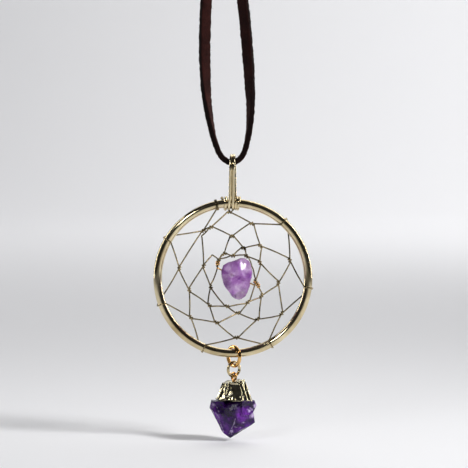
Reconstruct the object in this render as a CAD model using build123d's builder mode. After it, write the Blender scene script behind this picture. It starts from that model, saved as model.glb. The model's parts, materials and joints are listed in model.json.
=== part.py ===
from build123d import *
import os
from math import acos, cos, degrees, hypot, radians, sin, sqrt, tan

# A dream catcher pendant on a flat suede lace. Millimetres, +Z up, the face towards -Y.
# The origin is the hanging point, in the crook of the lace just under its knot.

# where the bail hangs
bail_drop = 78.75           # hanging point down to the middle of the bail's top wire
lean = 3.0                  # the hoop's middle is this far right of the hanging point

# hoop, a round wire bent to a circle
hoop_radius = 20.35         # to the middle of the wire
hoop_wire = 2.3

# bail, two wire loops side by side that carry the hoop on the lace
bail_wire = 0.8
bail_rise = 12.9            # hoop's wire up to the middle of the bail's top wire
bail_width = 5.8            # fore and aft, between the middles of the wires
bail_shift = -0.35          # left of the hoop's middle
bail_pitch = 0.84           # between the two loops
wrap_wire = 0.9
wrap_steps = [-3.14, 1.31]  # the turns beside the bail, along the hoop from its top

# suede lace
lace_width = 3.0
lace_thick = 1.5
knot_size = (9.0, 8.0, 9.4)
knot_round = 2.2
tail_length = 13.0
tail_splay = 14.0           # degrees from upright

# web, one thin wire
web_wire = 0.4
web_knot = 0.76             # diameter of a twisted knot
web_gap = 1.0               # stone to the innermost round
start_steps = [-4.07, -4.44]  # the start's turns, along the hoop from its top
web_steps = [-3.93, -1.875]  # the first and last knots inside the hoop, from its top
turn_skew = 0.4             # degrees along the hoop from a run's end to its turn

# centre stone, a tumbled chip on its own wire
stone_width = 8.5
stone_height = 11.4
stone_depth = 6.6
stone_shift = (1.07, -0.17)
stone_wire = 0.4
stone_hole = 0.9
coil_turns = 3
coil_insets = (1.3, 0.66)   # from the web's knots to the middle of the first turn

# rings and the crystal's eye
upper_mean = 2.6            # to the middle of the wire
upper_wire = 1.0
upper_yaw = -55.0           # its right side comes forwards
lower_mean = 1.9
lower_wire = 0.8
eye_mean = 0.95
eye_wire = 0.7
peg_wire = 0.9
peg_length = 4.2
chain_shift = 0.24          # right of the hoop's middle

# crystal and its plated cap
cap_height = 4.9
cap_wall = 0.5
cap_top = (6.4, 5.6)        # outer width and depth
cap_foot = (9.9, 8.6)
crystal_width = 12.65
crystal_height = 10.9       # below the cap's foot
crystal_depth = 11.4
notch_angles = [20, 75, 130, 200, 255, 310]
notch_size = 1.3

# clearances
wire_fit = 0.03             # a wire wrapped on a wire
link_play = 0.12            # a ring hanging in a ring
glue_gap = 0.08

drop = bail_drop + bail_rise + hoop_radius
hoop_centre = Vector(lean, 0, -drop)
face = Plane(origin=hoop_centre, x_dir=(1, 0, 0), z_dir=(0, -1, 0))
os.makedirs("parts", exist_ok=True)


def at(x, z, y=0.0):
    # a point from its place on the hoop's face, y towards the back
    return hoop_centre + Vector(x, y, z)


def hoop_angles(steps):
    # steps along the hoop from its top, in mm
    return [90 - degrees(step / hoop_radius) for step in steps]


def polar(angle, radius, y=0.0):
    return at(radius * cos(radians(angle)), radius * sin(radians(angle)), y)


def save(piece, label):
    piece.part.label = label
    export_step(piece.part, f"parts/{label}.step")


def rod(start, end, diameter):
    run = end - start
    bottom = (Align.CENTER, Align.CENTER, Align.MIN)
    return Plane(origin=start, z_dir=run) * Cylinder(
        diameter / 2, run.length, align=bottom, mode=Mode.PRIVATE)


def turn(middle, axis, mean, wire):
    # one closed turn of wire about an axis
    return Plane(origin=middle, z_dir=axis) * Torus(mean, wire / 2, mode=Mode.PRIVATE)


def hoop_turn(angle, wire):
    # one turn of wire round the hoop's own wire
    along = Vector(-sin(radians(angle)), 0, cos(radians(angle)))
    return turn(polar(angle, hoop_radius), along, hoop_wire / 2 + wire_fit + wire / 2, wire)


# ---- hoop
with BuildPart() as hoop:
    with Locations(face):
        Torus(hoop_radius, hoop_wire / 2)
save(hoop, "hoop")

# ---- bail: each loop is two arcs, round the lace and round the hoop, joined by their tangents
bail_top = hoop_radius + bail_rise - bail_width / 2     # centre of the upper arc, above the hoop's
bail_foot_radius = hoop_wire / 2 + wire_fit + bail_wire / 2
bail_lean = acos((bail_width / 2 - bail_foot_radius) / (bail_top - hoop_radius))
bail_loops = []
for side in (-0.5, 0.5):
    loop_x = bail_shift + side * bail_pitch
    top_y = sin(bail_lean) * bail_width / 2
    top_z = bail_top + cos(bail_lean) * bail_width / 2
    foot_y = sin(bail_lean) * bail_foot_radius
    foot_z = hoop_radius + cos(bail_lean) * bail_foot_radius
    front_top, front_foot = at(loop_x, top_z, -top_y), at(loop_x, foot_z, -foot_y)
    back_top, back_foot = at(loop_x, top_z, top_y), at(loop_x, foot_z, foot_y)
    with BuildPart() as loop:
        with BuildLine() as loop_path:
            ThreePointArc(front_top, at(loop_x, hoop_radius + bail_rise), back_top)
            Line(back_top, back_foot)
            ThreePointArc(back_foot, at(loop_x, hoop_radius - bail_foot_radius), front_foot)
            Line(front_foot, front_top)
        with BuildSketch(Plane(origin=front_top, z_dir=front_top - front_foot)):
            Circle(bail_wire / 2)
        sweep(path=loop_path.wire())
    bail_loops.append(loop.part)
with BuildPart() as bail:
    add(bail_loops)
save(bail, "bail")

with BuildPart() as bail_wraps:
    add([hoop_turn(angle, wrap_wire) for angle in hoop_angles(wrap_steps)])
save(bail_wraps, "bail_wraps")

# ---- suede lace, from the knot down its left strand, through the bail and back up
lace_route = [
    (-0.95, 0.0), (-2.6, -14.0), (-3.75, -30.0), (-4.65, -46.0), (-4.5, -59.0), (-3.5, -68.0),
    (-2.0, -75.1), (-0.2, -79.4), (2.65, -81.1), (5.5, -79.5), (7.0, -75.1), (7.85, -68.0),
    (7.6, -59.0), (6.6, -46.0), (4.9, -30.0), (3.0, -14.0), (0.95, 0.0),
]
lace_points = [Vector(x, 0, z) for x, z in lace_route]
lace_radii = []
for before, here, after in zip(lace_points, lace_points[1:], lace_points[2:]):
    half_turn = radians((here - before).get_angle(after - here)) / 2
    shorter = min((here - before).length, (after - here).length)
    lace_radii.append(0.45 * shorter / tan(half_turn))
with BuildPart() as suede_lace:
    with BuildLine() as lace_path:
        FilletPolyline(*lace_points, radius=lace_radii)
    with BuildSketch(Plane(origin=lace_points[0], x_dir=(0, 1, 0), z_dir=lace_path.wire() % 0)):
        Rectangle(lace_width, lace_thick)
    sweep(path=lace_path.wire())
save(suede_lace, "suede_lace")
print("lace radii", [round(radius, 1) for radius in lace_radii])
lace_length = lace_path.wire().length
lace_section = lace_width * lace_thick
print("lace length", round(lace_length, 1))
print("lace volume over section x length", suede_lace.part.volume / lace_section / lace_length)

# ---- the lace's knot with its two cut tails
with BuildPart() as lace_knot:
    with Locations((0, 0, knot_size[2] / 2)):
        Box(*knot_size)
    fillet(lace_knot.edges(), knot_round)
    for side in (-1, 1):
        tail_foot = (side * knot_size[0] / 5, 0, knot_size[2] - knot_round)
        with Locations(Location(tail_foot, (0, side * tail_splay, 0))):
            Box(lace_thick, lace_width, tail_length, align=(Align.CENTER, Align.CENTER, Align.MIN))
save(lace_knot, "lace_knot")

# ---- web: every knot is (angle, share of the way from the stone to the hoop, behind the face)
hitch = hoop_radius - hoop_wire / 2 - wire_fit - web_knot / 2
start_angle, end_angle = [90 - degrees(step / hitch) for step in web_steps]
web_knots = {
    "A1": (start_angle, 1, 0), "A2": (142, 1, 0), "A3": (196, 1, 0), "A4": (243, 1, 0), "A5": (296, 1, 0),
    "A6": (348, 1, 0), "A7": (43, 1, 0), "A0": (end_angle, 1, 0),
    "P1": (70, 0.73, 0), "P2": (17, 0.76, 0), "P3": (323, 0.78, 0), "P4": (273, 0.77, 0),
    "P5": (222, 0.73, 0), "P6": (168.5, 0.68, 0), "P7": (121, 0.7, 0), "P8": (112.5, 0.67, 0),
    "W7": (125.5, 0.61, 0),
    "Q1": (90.8, 0.38, 0), "Q2": (49, 0.4, 0), "Q3": (353, 0.48, 0), "Q4": (300, 0.5, 0),
    "Q5": (249, 0.49, 0), "Q6": (194.7, 0.49, 0),
    "S1": (110.5, 0.03, 0), "S2": (70.5, 0.16, 0), "S3": (30, 0.17, 0), "S4": (328, 0.22, 0),
    "S5": (278, 0.22, 0), "S6": (228, 0.26, 0), "S7": (156.8, 0.19, 0),
    "T0": (127, -0.04, 0), "L0": (139.5, -0.1, 0), "T1": (89.5, -0.03, 0), "T2": (58, 0.05, 0),
    "T3": (350.5, 0.0, 0), "T4": (302.5, 0.07, 0), "T5": (257, 0.08, 0), "T6": (200.5, 0.03, 0),
    "B2": (33, -0.06, stone_depth / 2 - 1),
}
web_rounds = [
    "A1 P7 A2 P6 A3 P5 A4 P4 A5 P3 A6 P2 A7 P1 A0",
    "A0 P8 P7 P6 Q6 P5 Q5 P4 Q4 P3 Q3 P2 Q2 P1",
    "P1 Q1 P8 W7 S7 Q6 S6 Q5 S5 Q4 S4 Q3 S3 Q2 S2 Q1",
    "Q1 S1 T0 S7 T6 S6 T5 S5 T4 S4 T3 S3 T2 S2 T1 S1",
    "T0 L0 T6 T5 T4 T3 B2 T2 T1 T0",
]


def web_place(name):
    angle, share, behind = web_knots[name]
    across = stone_width / 2 + web_gap + abs(stone_shift[0])
    up = stone_height / 2 + web_gap + abs(stone_shift[1])
    oval = 1 / hypot(cos(radians(angle)) / across, sin(radians(angle)) / up)
    return polar(angle, oval + share * (hitch - oval), behind)


# each knot is a small pin across the web, and the runs between knots end inside the pins
web_pieces = [
    Plane(origin=web_place(name), z_dir=(0, 1, 0)) * Cylinder(web_knot / 2, web_knot)
    for name in web_knots
]
for web_round in web_rounds:
    names = web_round.split()
    for name, following in zip(names, names[1:]):
        start, end = web_place(name), web_place(following)
        tuck = (end - start).normalized() * (web_knot / 2 - 0.2 * web_wire)
        web_pieces.append(rod(start + tuck, end - tuck, web_wire))
for name, (angle, share, behind) in web_knots.items():
    if share == 1 and name != "A1":
        web_pieces.append(hoop_turn(angle + turn_skew, web_wire))
web_pieces += [hoop_turn(angle, web_wire) for angle in hoop_angles(start_steps)]
with BuildPart() as web:
    add(web_pieces)
save(web, "web")

# ---- stone wire: straight, in front of the web, and coiled on one of its runs at each end
sleeve_outer = web_wire + 2 * wire_fit + 2 * stone_wire


def coil(first, second, inset):
    # a coil, as a sleeve on the run from first to second, and where the straight wire meets it
    along = (web_place(second) - web_place(first)).normalized()
    near = web_place(first) + along * (inset - stone_wire / 2)
    far = near + along * coil_turns * stone_wire
    sleeve = rod(near, far, sleeve_outer) - rod(near, far, web_wire + 2 * wire_fit)
    meeting = near + along * stone_wire / 2
    return sleeve, meeting - Vector(0, (web_wire + stone_wire) / 2 + wire_fit, 0)


right_coil, right_end = coil("T3", "S4", coil_insets[0])
left_coil, left_end = coil("L0", "T6", coil_insets[1])
with BuildPart() as wire_of_stone:
    add([right_coil, left_coil, rod(left_end, right_end, stone_wire)])
save(wire_of_stone, "stone_wire")

# ---- centre stone: its outline shrinks towards the front and the back, and is drilled through
stone_corners = [
    (-0.52, 0.35), (0.32, 0.52), (0.5, 0.17), (0.28, -0.5), (-0.05, -0.5), (-0.49, -0.04),
]
stone_rounds = [0.17, 0.17, 0.3, 0.17, 0.15, 0.3]
stone_middle = Vector(stone_shift[0], stone_shift[1])
layer_count = 4
with BuildPart() as centre_stone:
    for layer in range(-layer_count, layer_count + 1):
        share = 0.97 * layer / layer_count
        scale = sqrt(1 - abs(share) ** 2.4)
        level = -left_end.Y + share * stone_depth / 2
        corners = [
            stone_middle + Vector(x * stone_width, z * stone_height) * scale
            for x, z in stone_corners
        ]
        with BuildSketch(face.offset(level)):
            with BuildLine():
                FilletPolyline(
                    *corners,
                    radius=[part * stone_width * scale for part in stone_rounds],
                    close=True,
                )
            make_face()
    loft(ruled=True)
    with Locations(Plane(origin=(left_end + right_end) / 2, z_dir=right_end - left_end)):
        Cylinder(stone_hole / 2, 2 * stone_width, mode=Mode.SUBTRACT)
save(centre_stone, "centre_stone")

# ---- the two jump rings and the eye of the crystal hang in one another
upper_along = Vector(cos(radians(upper_yaw)), sin(radians(upper_yaw)), 0)
lower_along = Vector(-sin(radians(upper_yaw)), cos(radians(upper_yaw)), 0)
upper_z = -hoop_radius + hoop_wire / 2 + link_play + upper_wire / 2 - upper_mean
upper_foot = upper_z - upper_mean
lower_z = upper_foot + upper_wire / 2 + link_play + lower_wire / 2 - lower_mean
lower_foot = lower_z - lower_mean
eye_z = lower_foot + lower_wire / 2 + link_play + eye_wire / 2 - eye_mean
with BuildPart() as jump_ring_upper:
    add(turn(at(chain_shift, upper_z), lower_along, upper_mean, upper_wire))
save(jump_ring_upper, "jump_ring_upper")
with BuildPart() as jump_ring_lower:
    add(turn(at(chain_shift, lower_z), upper_along, lower_mean, lower_wire))
save(jump_ring_lower, "jump_ring_lower")

peg_top = at(chain_shift, eye_z - eye_mean)
with BuildPart() as cap_eye:
    add(turn(at(chain_shift, eye_z), lower_along, eye_mean, eye_wire))
    add(rod(peg_top, peg_top - Vector(0, 0, peg_length), peg_wire))
save(cap_eye, "cap_eye")

# ---- plated cap: a tapered seven-sided cup with a ragged rim
cap_z = eye_z - eye_mean + 0.15
foot_z = cap_z - cap_height


def ragged_ring(width, depth, level):
    # seven uneven corners round the chain's axis at one level
    corner_angles = [8, 62, 118, 171, 222, 275, 322]
    plane = Plane(origin=at(chain_shift, level), x_dir=(1, 0, 0), z_dir=(0, 0, 1))
    with BuildSketch(plane) as ring:
        with BuildLine():
            Polyline(
                *[(width / 2 * cos(radians(a)), depth / 2 * sin(radians(a))) for a in corner_angles],
                close=True,
            )
        make_face()
    return ring.sketch


cup_gap = cap_wall + glue_gap
taper = ((cap_foot[0] - cap_top[0]) / cap_height, (cap_foot[1] - cap_top[1]) / cap_height)
ceiling = cap_z - cap_wall
inner_top = (cap_top[0] + taper[0] * cap_wall - 2 * cap_wall,
             cap_top[1] + taper[1] * cap_wall - 2 * cap_wall)
inner_foot = (cap_foot[0] - 2 * cap_wall, cap_foot[1] - 2 * cap_wall)
with BuildPart() as crystal_cap:
    loft([ragged_ring(*cap_top, cap_z), ragged_ring(*cap_foot, foot_z)], ruled=True)
    loft([ragged_ring(*inner_top, ceiling), ragged_ring(*inner_foot, foot_z)],
         ruled=True, mode=Mode.SUBTRACT)
    with Locations(at(chain_shift, cap_z)):
        Cylinder(peg_wire / 2 + wire_fit, 2 * cap_wall + eye_wire, mode=Mode.SUBTRACT)
    with Locations(Plane(origin=at(chain_shift, eye_z), z_dir=lower_along)):
        Torus(eye_mean, eye_wire / 2 + wire_fit, mode=Mode.SUBTRACT)
    rim = Plane(origin=at(chain_shift, foot_z))
    for angle in notch_angles:
        with Locations(rim * Rot(0, 0, angle) * Pos(cap_foot[0] / 2, 0, 0) * Rot(45, 0, 0)):
            Box(cap_foot[0] / 2, notch_size, notch_size, mode=Mode.SUBTRACT)
save(crystal_cap, "crystal_cap")

# ---- crystal: its front outline, cut to facets at the front and back, with a stub in the cap
tip_z = foot_z - crystal_height
crystal_outline = [
    (-0.46, 0.0), (-0.5, -0.22), (-0.187, -0.88), (-0.055, -1.0), (0.465, -0.6), (0.5, -0.15),
    (0.43, 0.0),
]
# each facet is how far it leans from upright, which way it faces, and its distance out at the foot
crystal_facets = [(-24, 0.5), (-68, 0.46), (-118, 0.47), (-158, 0.5), (24, 0.5), (68, 0.46),
                  (118, 0.47), (158, 0.5)]
with BuildPart() as crystal:
    crystal_face = Plane(origin=at(chain_shift, foot_z - glue_gap), x_dir=(1, 0, 0), z_dir=(0, -1, 0))
    with BuildSketch(crystal_face):
        with BuildLine():
            Polyline(
                *[(x * crystal_width, z * crystal_height) for x, z in crystal_outline],
                close=True,
            )
        make_face()
    extrude(amount=crystal_depth / 2, both=True)
    for direction, reach in crystal_facets:
        outward = Vector(cos(radians(direction)), sin(radians(direction)), -0.42)
        where = at(chain_shift, foot_z - 0.3 * crystal_height) + Vector(
            outward.X * reach * crystal_width, outward.Y * reach * crystal_depth, 0)
        split(bisect_by=Plane(origin=where, z_dir=outward), keep=Keep.BOTTOM)
    stub_top = (inner_top[0] - 2 * glue_gap, inner_top[1] - 2 * glue_gap)
    stub_foot = (inner_foot[0] - 2 * glue_gap, inner_foot[1] - 2 * glue_gap)
    loft([ragged_ring(*stub_top, ceiling - glue_gap), ragged_ring(*stub_foot, foot_z)], ruled=True)
    with Locations(peg_top):
        Cylinder(peg_wire / 2 + glue_gap, peg_length + glue_gap,
                 align=(Align.CENTER, Align.CENTER, Align.MAX), mode=Mode.SUBTRACT)
save(crystal, "crystal")
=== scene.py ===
import bpy
import bmesh
import json
from math import atan2, cos, hypot, pi, radians, sin
from mathutils import Matrix, Vector, noise
from random import Random


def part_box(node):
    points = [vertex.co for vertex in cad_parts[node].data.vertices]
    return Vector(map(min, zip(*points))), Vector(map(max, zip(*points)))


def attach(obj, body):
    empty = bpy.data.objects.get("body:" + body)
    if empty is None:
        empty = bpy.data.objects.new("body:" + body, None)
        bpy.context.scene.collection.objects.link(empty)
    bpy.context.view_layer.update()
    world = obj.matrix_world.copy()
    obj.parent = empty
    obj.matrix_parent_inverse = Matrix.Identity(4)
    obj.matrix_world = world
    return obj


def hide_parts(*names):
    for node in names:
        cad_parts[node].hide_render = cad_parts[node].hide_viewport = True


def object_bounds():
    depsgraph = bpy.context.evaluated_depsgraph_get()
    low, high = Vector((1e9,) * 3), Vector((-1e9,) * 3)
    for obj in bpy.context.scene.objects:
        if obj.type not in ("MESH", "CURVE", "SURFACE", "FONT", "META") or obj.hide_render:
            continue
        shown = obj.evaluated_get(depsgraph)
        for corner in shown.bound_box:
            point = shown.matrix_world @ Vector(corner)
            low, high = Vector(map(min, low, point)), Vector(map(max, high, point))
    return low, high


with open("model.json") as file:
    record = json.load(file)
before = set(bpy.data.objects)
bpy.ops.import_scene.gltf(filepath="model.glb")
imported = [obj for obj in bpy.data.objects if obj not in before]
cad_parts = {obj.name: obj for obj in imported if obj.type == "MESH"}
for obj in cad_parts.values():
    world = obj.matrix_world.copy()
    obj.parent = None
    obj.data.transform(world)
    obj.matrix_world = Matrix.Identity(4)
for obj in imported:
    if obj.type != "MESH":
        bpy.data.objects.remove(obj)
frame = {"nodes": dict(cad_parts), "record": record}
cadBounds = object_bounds()
mm = 0.001

hoopLow, hoopHigh = (Vector(corner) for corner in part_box("hoop"))
hoopMiddle = (hoopLow + hoopHigh) / 2
hoopWire = (hoopHigh.y - hoopLow.y) / mm                 # its thickness, in mm
hoopMean = (hoopHigh.x - hoopLow.x) / mm / 2 - hoopWire / 2
print("frame loaded, hoop", round(2 * hoopMean + hoopWire, 1), "mm")


def onFace(x, z, y=0.0):
    # a place in mm from the hoop's middle: right, up, and towards the back
    return hoopMiddle + Vector((x, y, z)) * mm


def roundHoop(angle, turn, reach):
    # a place beside the hoop's wire: turn 0 is inside the hoop, 90 behind it, 180 outside, 270 in front
    radius = hoopMean - reach * cos(radians(turn))
    return onFace(radius * cos(radians(angle)), radius * sin(radians(angle)), reach * sin(radians(turn)))


def mixIn(a, b, share):
    return a + (b - a) * share


# ---- camera and stage
cameraLook = {"width": 126.4, "away": 620, "right": 0.3, "up": 12.0, "rise": 3.0}   # mm at the hoop, degrees


def makeCamera(look):
    data = bpy.data.cameras.new("camera")
    camera = bpy.data.objects.new("camera", data)
    bpy.context.collection.objects.link(camera)
    aim = onFace(look["right"], look["up"])
    tilt = radians(look["rise"])
    camera.location = aim + Vector((0, -cos(tilt), sin(tilt))) * look["away"] * mm
    camera.rotation_euler = (pi / 2 - tilt, 0, 0)
    data.sensor_width = 36
    data.lens = 36 * look["away"] / look["width"]
    data.clip_start = 0.01
    bpy.context.scene.camera = camera


def plainObject(name, mesh):
    piece = bpy.data.objects.new(name, mesh)
    bpy.context.collection.objects.link(piece)
    return piece


def giveMaterial(piece, material):
    piece.data.materials.clear()
    piece.data.materials.append(material)


def finishMesh(mesh, smooth=True):
    tidy = bmesh.new()
    tidy.from_mesh(mesh)
    bmesh.ops.recalc_face_normals(tidy, faces=tidy.faces)
    tidy.to_mesh(mesh)
    tidy.free()
    for polygon in mesh.polygons:
        polygon.use_smooth = smooth


# ---- shader helpers
def newMaterial(name):
    material = bpy.data.materials.new(name)
    material.use_nodes = True
    nodes = material.node_tree.nodes
    nodes.clear()
    shader = nodes.new("ShaderNodeBsdfPrincipled")
    output = nodes.new("ShaderNodeOutputMaterial")
    material.node_tree.links.new(shader.outputs[0], output.inputs[0])
    return material, shader


def setSockets(node, values):
    for name, value in values.items():
        node.inputs[name].default_value = value


def addNode(tree, kind, values=None, sources=None, **settings):
    node = tree.nodes.new(kind)
    for name, value in settings.items():
        setattr(node, name, value)
    setSockets(node, values or {})
    for name, source in (sources or {}).items():
        tree.links.new(source, node.inputs[name])
    return node


def mixColours(tree, share, first, second):
    # from the first colour to the second, which is a socket or a plain colour
    mix = addNode(tree, "ShaderNodeMix", None, {"Factor": share, 6: first}, data_type="RGBA")
    if isinstance(second, tuple):
        mix.inputs[7].default_value = (*second, 1)
    else:
        tree.links.new(second, mix.inputs[7])
    return mix.outputs[2]


def addMath(tree, operation, values, sources):
    return addNode(tree, "ShaderNodeMath", values, sources, operation=operation).outputs[0]


def addRange(tree, source, values):
    return addNode(tree, "ShaderNodeMapRange", values, {0: source}).outputs[0]


def objectPlace(tree):
    return tree.nodes.new("ShaderNodeTexCoord").outputs["Object"]


def colourRamp(tree, stops, source=None):
    ramp = tree.nodes.new("ShaderNodeValToRGB")
    elements = ramp.color_ramp.elements
    while len(elements) < len(stops):
        elements.new(0.5)
    for element, (place, colour) in zip(elements, stops):
        element.position = place
        element.color = (*colour, 1)
    if source:
        tree.links.new(source, ramp.inputs[0])
    return ramp


def newGroup(name, inputs, outputs):
    group = bpy.data.node_groups.new(name, "ShaderNodeTree")
    for label, kind, value in inputs:
        socket = group.interface.new_socket(label, in_out="INPUT", socket_type=kind)
        socket.default_value = value
    for label, kind in outputs:
        group.interface.new_socket(label, in_out="OUTPUT", socket_type=kind)
    return group, group.nodes.new("NodeGroupInput").outputs, group.nodes.new("NodeGroupOutput").inputs


def useGroup(tree, group, values):
    node = tree.nodes.new("ShaderNodeGroup")
    node.node_tree = group
    setSockets(node, values)
    return node


# handling marks and tiny dents of plated wire: a colour that drifts, a roughness and a height
def makePlatingGroup():
    group, given, out = newGroup("plating", [
        ("Bright", "NodeSocketColor", (0.9, 0.8, 0.6, 1)),
        ("Dull", "NodeSocketColor", (0.7, 0.55, 0.35, 1)),
        ("Patch Scale", "NodeSocketFloat", 400.0),
        ("Scratch Scale", "NodeSocketFloat", 3000.0),
        ("Roughness", "NodeSocketFloat", 0.1),
    ], [("Color", "NodeSocketColor"), ("Roughness", "NodeSocketFloat"), ("Height", "NodeSocketFloat")])
    link = group.links.new
    where = objectPlace(group)
    patches = addNode(group, "ShaderNodeTexNoise", {"Detail": 3.0, "Roughness": 0.6},
                      {"Vector": where, "Scale": given["Patch Scale"]})
    spread = addRange(group, patches.outputs[0], {"From Min": 0.35, "From Max": 0.7})
    link(mixColours(group, spread, given["Bright"], given["Dull"]), out["Color"])
    scratches = addNode(group, "ShaderNodeTexNoise", {"Detail": 4.0, "Roughness": 0.7, "Distortion": 1.5},
                        {"Vector": where, "Scale": given["Scratch Scale"]})
    rough = addMath(group, "MULTIPLY", {1: 0.14}, {0: scratches.outputs[0]})
    link(addMath(group, "ADD", {}, {0: rough, 1: given["Roughness"]}), out["Roughness"])
    link(scratches.outputs[0], out["Height"])
    return group


# clouds, veils and needles inside a quartz: a colour that deepens, and a height for the skin
def makeQuartzGroup():
    group, given, out = newGroup("quartz inside", [
        ("Pale", "NodeSocketColor", (0.8, 0.7, 0.9, 1)),
        ("Middle", "NodeSocketColor", (0.5, 0.3, 0.7, 1)),
        ("Deep", "NodeSocketColor", (0.1, 0.03, 0.2, 1)),
        ("Cloud Scale", "NodeSocketFloat", 250.0),
        ("Crack Scale", "NodeSocketFloat", 500.0),
        ("Shift", "NodeSocketFloat", 0.0),
    ], [("Color", "NodeSocketColor"), ("Veil", "NodeSocketFloat"), ("Height", "NodeSocketFloat")])
    link = group.links.new
    where = objectPlace(group)
    clouds = addNode(group, "ShaderNodeTexNoise", {"Detail": 5.0, "Roughness": 0.62, "Distortion": 0.8},
                     {"Vector": where, "Scale": given["Cloud Scale"]})
    shifted = addMath(group, "ADD", {}, {0: clouds.outputs[0], 1: given["Shift"]})
    low = addRange(group, shifted, {"From Min": 0.34, "From Max": 0.52})
    high = addRange(group, shifted, {"From Min": 0.5, "From Max": 0.68})
    colour = mixColours(group, low, given["Deep"], given["Middle"])
    colour = mixColours(group, high, colour, given["Pale"])
    cracks = addNode(group, "ShaderNodeTexVoronoi", None,
                     {"Vector": where, "Scale": given["Crack Scale"]}, feature="DISTANCE_TO_EDGE")
    thin = addRange(group, cracks.outputs[0], {"From Min": 0.0, "From Max": 0.035, "To Min": 1.0, "To Max": 0.0})
    some = addMath(group, "MULTIPLY", {}, {0: thin, 1: high})
    link(mixColours(group, some, colour, given["Pale"]), out["Color"])
    link(some, out["Veil"])
    link(clouds.outputs[0], out["Height"])
    return group


platingGroup = makePlatingGroup()
quartzGroup = makeQuartzGroup()

# ---- metals
metals = {
    "hoop gold": {"Bright": (0.80, 0.69, 0.45, 1), "Dull": (0.48, 0.375, 0.20, 1),
                  "Patch Scale": 130.0, "Scratch Scale": 1800.0, "Roughness": 0.015},
    "wire gold": {"Bright": (0.44, 0.35, 0.19, 1), "Dull": (0.04, 0.03, 0.015, 1),
                  "Patch Scale": 420.0, "Scratch Scale": 5200.0, "Roughness": 0.05},
    "ring gold": {"Bright": (0.90, 0.56, 0.20, 1), "Dull": (0.45, 0.22, 0.06, 1),
                  "Patch Scale": 500.0, "Scratch Scale": 4200.0, "Roughness": 0.04},
    "cap gold": {"Bright": (0.72, 0.66, 0.46, 1), "Dull": (0.34, 0.29, 0.16, 1),
                 "Patch Scale": 700.0, "Scratch Scale": 2600.0, "Roughness": 0.02},
}


def makeMetal(name, dent):
    material, shader = newMaterial(name)
    tree = material.node_tree
    plating = useGroup(tree, platingGroup, metals[name])
    bump = addNode(tree, "ShaderNodeBump", {"Strength": dent, "Distance": 0.00004},
                   {"Height": plating.outputs["Height"]})
    tree.links.new(plating.outputs["Color"], shader.inputs["Base Color"])
    tree.links.new(plating.outputs["Roughness"], shader.inputs["Roughness"])
    tree.links.new(bump.outputs[0], shader.inputs["Normal"])
    setSockets(shader, {"Metallic": 1.0})
    return material


hoopGold = makeMetal("hoop gold", 0.05)
wireGold = makeMetal("wire gold", 0.12)
ringGold = makeMetal("ring gold", 0.12)
capGold = makeMetal("cap gold", 0.06)


# ---- suede
# the suede's colours: dark and warm for the nap; edge is painted shade, making the lace's narrow cut edges
# darker than its faces
suedeLook = {"dark": (0.010, 0.003, 0.003), "warm": (0.038, 0.011, 0.009), "edge": (0.005, 0.0025, 0.0025)}


def makeSuede(look):
    material, shader = newMaterial("suede")
    tree = material.node_tree
    link = tree.links.new
    where = objectPlace(tree)
    nap = addNode(tree, "ShaderNodeTexNoise", {"Scale": 2600.0, "Detail": 6.0, "Roughness": 0.75},
                  {"Vector": where})
    drift = addNode(tree, "ShaderNodeTexNoise", {"Scale": 260.0, "Detail": 3.0, "Roughness": 0.6},
                    {"Vector": where})
    both = addMath(tree, "MULTIPLY", {}, {0: nap.outputs[0], 1: drift.outputs[0]})
    ramp = colourRamp(tree, [(0.12, look["dark"]), (0.42, look["warm"])], both)
    # painted shade: the cut edges are darkened with the edge colour
    edge = addNode(tree, "ShaderNodeAttribute", attribute_name="cutEdge")
    link(mixColours(tree, edge.outputs["Fac"], ramp.outputs[0], look["edge"]), shader.inputs["Base Color"])
    bump = addNode(tree, "ShaderNodeBump", {"Strength": 0.9, "Distance": 0.0002}, {"Height": nap.outputs[0]})
    link(bump.outputs[0], shader.inputs["Normal"])
    setSockets(shader, {"Roughness": 0.95, "Specular IOR Level": 0.15, "Sheen Weight": 0.14,
                        "Sheen Roughness": 0.45, "Sheen Tint": (0.5, 0.25, 0.2, 1)})
    return material


suede = makeSuede(suedeLook)


# ---- stones
def makeQuartz(name, values, sockets, skin, places=()):
    material, shader = newMaterial(name)
    tree = material.node_tree
    link = tree.links.new
    inside = useGroup(tree, quartzGroup, values)
    colour = inside.outputs["Color"]
    for mask, tint, amount in places:
        where = addNode(tree, "ShaderNodeAttribute", attribute_name=mask)
        share = addMath(tree, "MULTIPLY", {1: amount}, {0: where.outputs["Fac"]})
        colour = mixColours(tree, share, colour, tint)
    link(colour, shader.inputs["Base Color"])
    bump = addNode(tree, "ShaderNodeBump", {"Strength": skin, "Distance": 0.0003},
                   {"Height": inside.outputs["Height"]})
    link(bump.outputs[0], shader.inputs["Normal"])
    setSockets(shader, sockets)
    return material


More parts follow.
